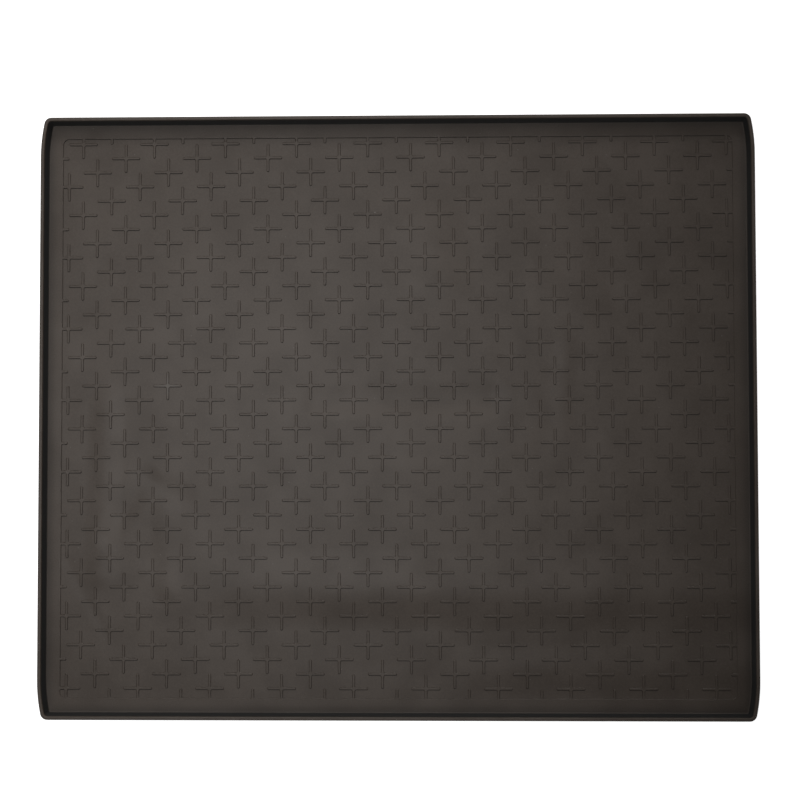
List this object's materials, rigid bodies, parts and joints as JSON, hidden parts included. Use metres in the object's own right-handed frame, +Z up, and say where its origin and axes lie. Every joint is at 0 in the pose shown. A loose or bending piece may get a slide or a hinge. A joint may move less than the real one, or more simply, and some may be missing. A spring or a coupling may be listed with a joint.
{
  "type": "car boot liner",
  "caption": "One-piece moulded rubber boot tray with a low rounded wall all round, a plain border and a field of raised plus-shaped anti-slip ribs.",
  "frame": {"origin": "middle of the tray's flat underside", "axes": "X across the car, +Y towards the seat backs (the top of the picture), +Z up out of the tray"},
  "size_m": [0.99, 0.834, 0.025],
  "materials": {
    "liner_rubber": "satin, very fine moulded grain"
  },
  "bodies": {
    "root": {"liner": "liner_rubber"}
  },
  "joints": []
}
